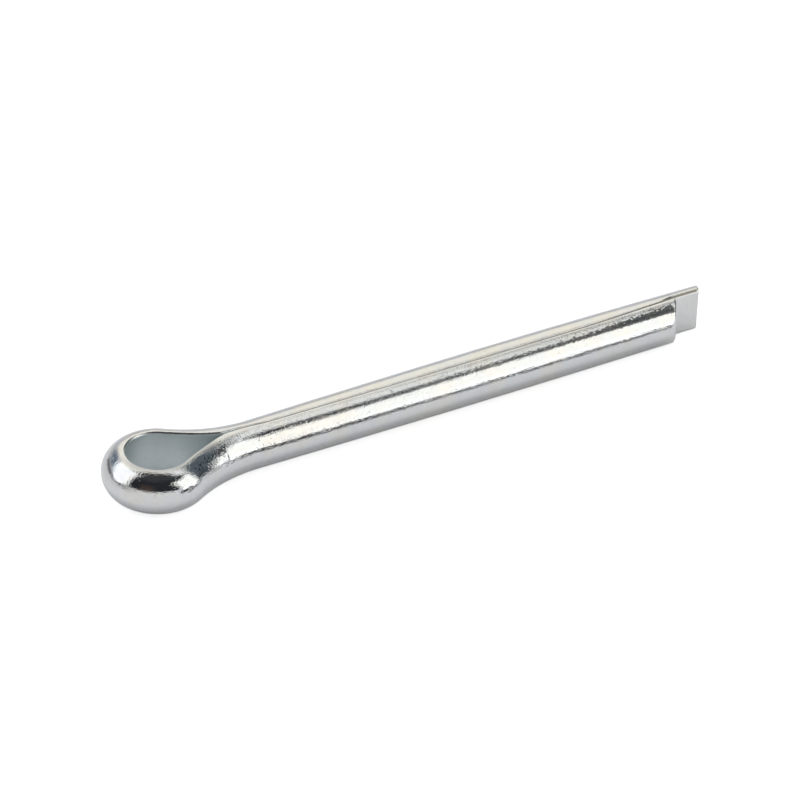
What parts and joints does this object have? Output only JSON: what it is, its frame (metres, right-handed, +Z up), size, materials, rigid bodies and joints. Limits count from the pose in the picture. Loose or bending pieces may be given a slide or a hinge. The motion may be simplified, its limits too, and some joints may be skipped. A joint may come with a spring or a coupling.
{
  "type": "cotter pin",
  "caption": "Split pin folded from half-round wire: an open eye and paired legs of unequal reach that close into a round shank for a cross hole.",
  "frame": {"origin": "on the axis of the round shank, in the plane where the two legs part towards the eye", "axes": "+X along the legs towards their tips, +Y towards the long leg, +Z up, square to the eye, with the pin lying on its side"},
  "size_m": [0.0637, 0.01, 0.0044],
  "materials": {
    "zinc_plate": "bright zinc plating on drawn half-round steel wire, with fine lengthwise die lines, and matt inner flats"
  },
  "bodies": {
    "root": {"cotter_pin": "zinc_plate"}
  },
  "joints": []
}
